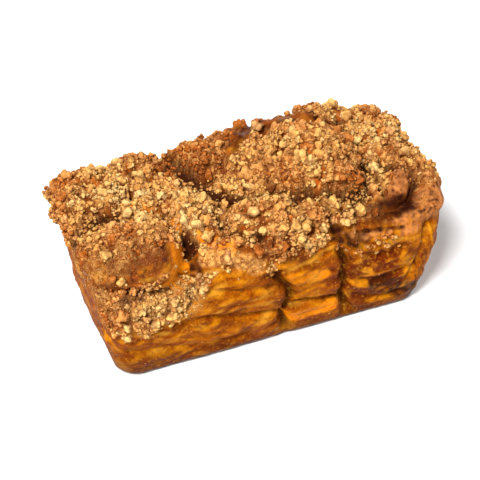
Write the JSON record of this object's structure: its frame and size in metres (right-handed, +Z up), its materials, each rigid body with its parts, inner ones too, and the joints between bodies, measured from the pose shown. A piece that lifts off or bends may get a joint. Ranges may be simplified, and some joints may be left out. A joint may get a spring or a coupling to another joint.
{
  "type": "apple crumble babka",
  "caption": "Loaf of filled, twisted sweet bread baked in a tapered tin, with a rough crumble topping fused to its risen top.",
  "frame": {"origin": "on the flat underside, below the middle of the loaf's box", "axes": "+X along the loaf, towards the end with the opened spiral strand; +Y towards the back wall; +Z up, out of the tin"},
  "size_m": [0.2469, 0.1164, 0.1211],
  "materials": {
    "crust": "golden brown baked crust, satin, darker along its edges and folds",
    "crumble": "dry toasted butter crumble, matt and grainy"
  },
  "bodies": {
    "root": {"babka": "crust"}
  },
  "joints": []
}
